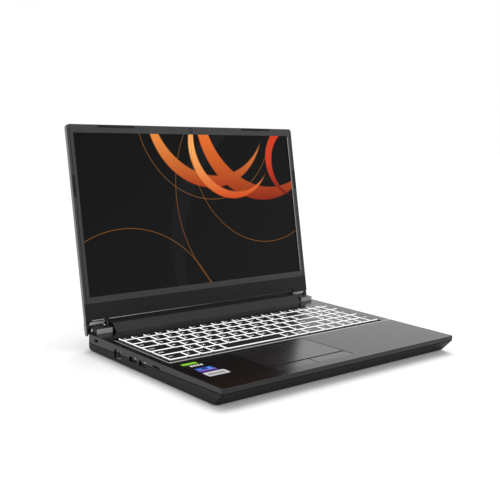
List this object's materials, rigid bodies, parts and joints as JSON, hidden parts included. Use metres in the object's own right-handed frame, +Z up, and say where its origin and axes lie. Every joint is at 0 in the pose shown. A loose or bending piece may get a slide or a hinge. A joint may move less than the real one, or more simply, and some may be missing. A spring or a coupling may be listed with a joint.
{
  "type": "laptop computer",
  "caption": "Notebook computer with a hinged display lid, a full keyboard with number pad, a touch pad with press buttons and sockets along its sides and rear.",
  "frame": {"origin": "on the table, under the middle of the case, at the centre of the middle rubber foot", "axes": "+X to the user's right, +Y to the rear, +Z up"},
  "size_m": [0.362, 0.3082, 0.2599],
  "materials": {
    "case_plastic": "fine textured black ABS",
    "lid_plastic": "fine textured black ABS",
    "bezel_plastic": "speckled dark grey ABS",
    "chin_plastic": "smooth black ABS",
    "bar_plastic": "satin dark grey ABS",
    "key_plastic": "black painted tops over translucent white skirts",
    "touch_surface": "smooth matte film",
    "screen": "matte display surface",
    "camera_glass": "polished",
    "rubber": "matte",
    "steel": "satin",
    "hinge_grey": "satin grey",
    "socket_metal": "satin",
    "socket_plastic": "matte",
    "circuit_board": "solder mask",
    "chip_black": "moulded",
    "copper": "bright copper",
    "aluminium": "rolled",
    "battery_wrap": "film",
    "fan_plastic": "moulded",
    "status_lens": "translucent smoked"
  },
  "bodies": {
    "base": {"audio_jacks": "socket_plastic", "battery": "battery_wrap", "bottom_cover": "case_plastic", "bottom_screws": "steel", "card_slot": "socket_metal", "ethernet_socket": "socket_plastic", "fan_housing_left": "fan_plastic", "fan_housing_right": "fan_plastic", "fin_stack_left": "aluminium", "fin_stack_right": "aluminium", "graphics_chip": "chip_black", "heat_pipes": "copper", "hinge_bar": "bar_plastic", "hinge_bracket_left": "steel", "hinge_bracket_right": "steel", "hinge_cover_left": "hinge_grey", "hinge_cover_right": "hinge_grey", "keyboard_plate": "steel", "memory_modules": "circuit_board", "motherboard": "circuit_board", "processor": "chip_black", "rear_sockets": "socket_metal", "rubber_feet": "rubber", "solid_state_drive": "circuit_board", "speakers": "socket_plastic", "status_lights": "status_lens", "top_case": "case_plastic", "touchpad": "touch_surface", "touchpad_bracket": "steel", "usb_socket_right": "socket_metal", "usb_sockets_left": "socket_metal", "wireless_card": "circuit_board"},
    "lid": {"lid_back_cover": "lid_plastic", "display_bezel": "bezel_plastic", "lid_chin": "chin_plastic", "display_panel": "screen", "camera_module": "camera_glass", "lid_bumpers": "rubber", "lid_hinge_trims": "hinge_grey", "hinge_arm_left": "steel", "hinge_arm_right": "steel", "hinge_pin_left": "steel", "hinge_pin_right": "steel"},
    "function_keys": {"function_keys": "key_plastic"},
    "number_keys": {"number_keys": "key_plastic"},
    "upper_letter_keys": {"upper_letter_keys": "key_plastic"},
    "home_letter_keys": {"home_letter_keys": "key_plastic"},
    "lower_letter_keys": {"lower_letter_keys": "key_plastic"},
    "modifier_keys": {"modifier_keys": "key_plastic"},
    "space_bar": {"space_bar": "key_plastic"},
    "arrow_keys": {"arrow_keys": "key_plastic"},
    "left_shift_key": {"left_shift_key": "key_plastic"},
    "enter_key": {"enter_key": "key_plastic"},
    "number_pad_keys": {"number_pad_keys": "key_plastic"},
    "power_key": {"power_key": "key_plastic"},
    "touchpad_left_button": {"touchpad_left_button": "touch_surface"},
    "touchpad_right_button": {"touchpad_right_button": "touch_surface"},
    "fan_rotor_left": {"fan_rotor_left": "fan_plastic"},
    "fan_rotor_right": {"fan_rotor_right": "fan_plastic"}
  },
  "joints": [
    {"name": "lid_hinge", "type": "hinge", "parent": "base", "child": "lid", "pos_m": [0, 0.1186, 0.0188], "axis": [-1, 0, 0], "range_deg": [-101.9, 28]},
    {"name": "function_keys_press", "type": "slide", "parent": "base", "child": "function_keys", "axis": [0, 0, -1], "range_m": [0, 0.0015], "stiffness_N_per_m": 400, "springref_m": -0.0006},
    {"name": "number_keys_press", "type": "slide", "parent": "base", "child": "number_keys", "axis": [0, 0, -1], "range_m": [0, 0.0015], "stiffness_N_per_m": 400, "springref_m": -0.0006},
    {"name": "upper_letter_keys_press", "type": "slide", "parent": "base", "child": "upper_letter_keys", "axis": [0, 0, -1], "range_m": [0, 0.0015], "stiffness_N_per_m": 400, "springref_m": -0.0006},
    {"name": "home_letter_keys_press", "type": "slide", "parent": "base", "child": "home_letter_keys", "axis": [0, 0, -1], "range_m": [0, 0.0015], "stiffness_N_per_m": 400, "springref_m": -0.0006},
    {"name": "lower_letter_keys_press", "type": "slide", "parent": "base", "child": "lower_letter_keys", "axis": [0, 0, -1], "range_m": [0, 0.0015], "stiffness_N_per_m": 400, "springref_m": -0.0006},
    {"name": "modifier_keys_press", "type": "slide", "parent": "base", "child": "modifier_keys", "axis": [0, 0, -1], "range_m": [0, 0.0015], "stiffness_N_per_m": 400, "springref_m": -0.0006},
    {"name": "space_bar_press", "type": "slide", "parent": "base", "child": "space_bar", "axis": [0, 0, -1], "range_m": [0, 0.0015], "stiffness_N_per_m": 400, "springref_m": -0.0006},
    {"name": "arrow_keys_press", "type": "slide", "parent": "base", "child": "arrow_keys", "axis": [0, 0, -1], "range_m": [0, 0.0015], "stiffness_N_per_m": 400, "springref_m": -0.0006},
    {"name": "left_shift_key_press", "type": "slide", "parent": "base", "child": "left_shift_key", "axis": [0, 0, -1], "range_m": [0, 0.0015], "stiffness_N_per_m": 400, "springref_m": -0.0006},
    {"name": "enter_key_press", "type": "slide", "parent": "base", "child": "enter_key", "axis": [0, 0, -1], "range_m": [0, 0.0015], "stiffness_N_per_m": 400, "springref_m": -0.0006},
    {"name": "number_pad_keys_press", "type": "slide", "parent": "base", "child": "number_pad_keys", "axis": [0, 0, -1], "range_m": [0, 0.0015], "stiffness_N_per_m": 400, "springref_m": -0.0006},
    {"name": "power_key_press", "type": "slide", "parent": "base", "child": "power_key", "axis": [0, 0, -1], "range_m": [0, 0.0015], "stiffness_N_per_m": 400, "springref_m": -0.0006},
    {"name": "touchpad_left_button_press", "type": "slide", "parent": "base", "child": "touchpad_left_button", "axis": [0, 0, -1], "range_m": [0, 0.0005], "stiffness_N_per_m": 600, "springref_m": -0.0005},
    {"name": "touchpad_right_button_press", "type": "slide", "parent": "base", "child": "touchpad_right_button", "axis": [0, 0, -1], "range_m": [0, 0.0005], "stiffness_N_per_m": 600, "springref_m": -0.0005},
    {"name": "fan_rotor_left_spin", "type": "hinge", "parent": "base", "child": "fan_rotor_left", "pos_m": [-0.112, 0.058, 0.008], "axis": [0, 0, 1], "continuous": true},
    {"name": "fan_rotor_right_spin", "type": "hinge", "parent": "base", "child": "fan_rotor_right", "pos_m": [0.112, 0.058, 0.008], "axis": [0, 0, 1], "continuous": true}
  ]
}
